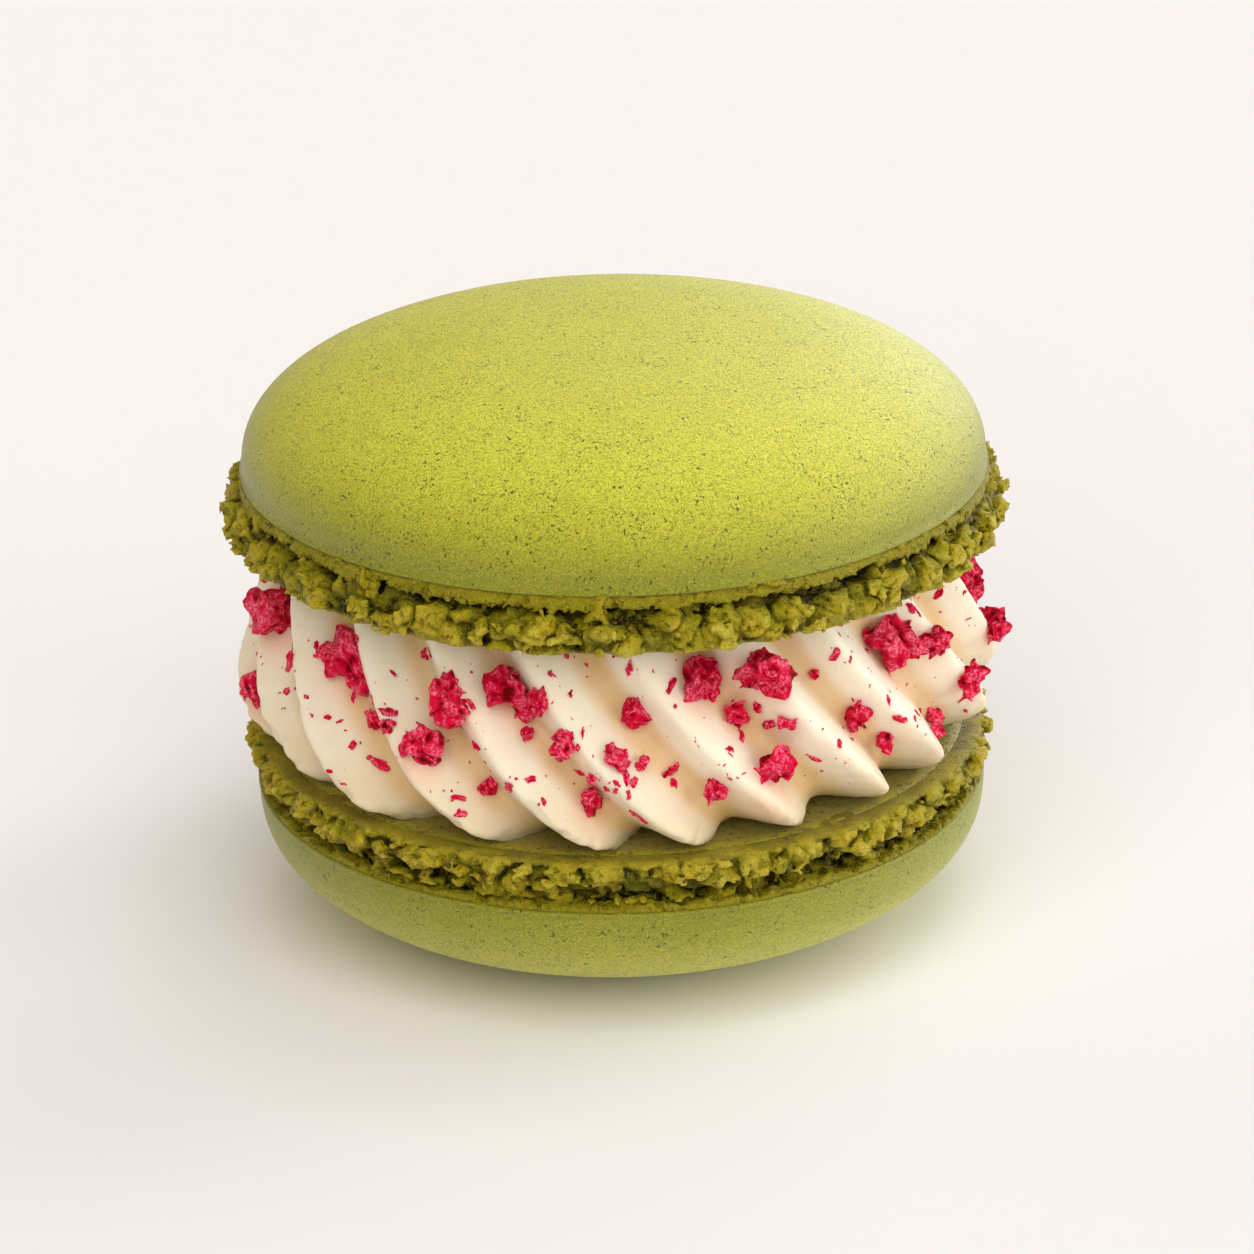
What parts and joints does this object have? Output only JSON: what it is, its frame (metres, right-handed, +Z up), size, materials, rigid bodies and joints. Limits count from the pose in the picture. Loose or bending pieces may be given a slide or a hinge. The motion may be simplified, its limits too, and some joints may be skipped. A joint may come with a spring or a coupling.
{
  "type": "french macaron",
  "caption": "French macaron: two round domed shells with ruffled feet round a tall swirl of piped cream, dotted with dried raspberry crumbs.",
  "frame": {"origin": "centre of the small flat under the lower shell, on the surface it rests on", "axes": "+Z up through both shells, -Y the front, +X to the right seen from the front"},
  "size_m": [0.0479, 0.048, 0.0365],
  "materials": {
    "shell": null,
    "cream": null,
    "raspberry": "powdery freeze-dried raspberry crumbs"
  },
  "bodies": {
    "root": {"lower_shell": "shell", "filling": "cream", "upper_shell": "shell"}
  },
  "joints": []
}
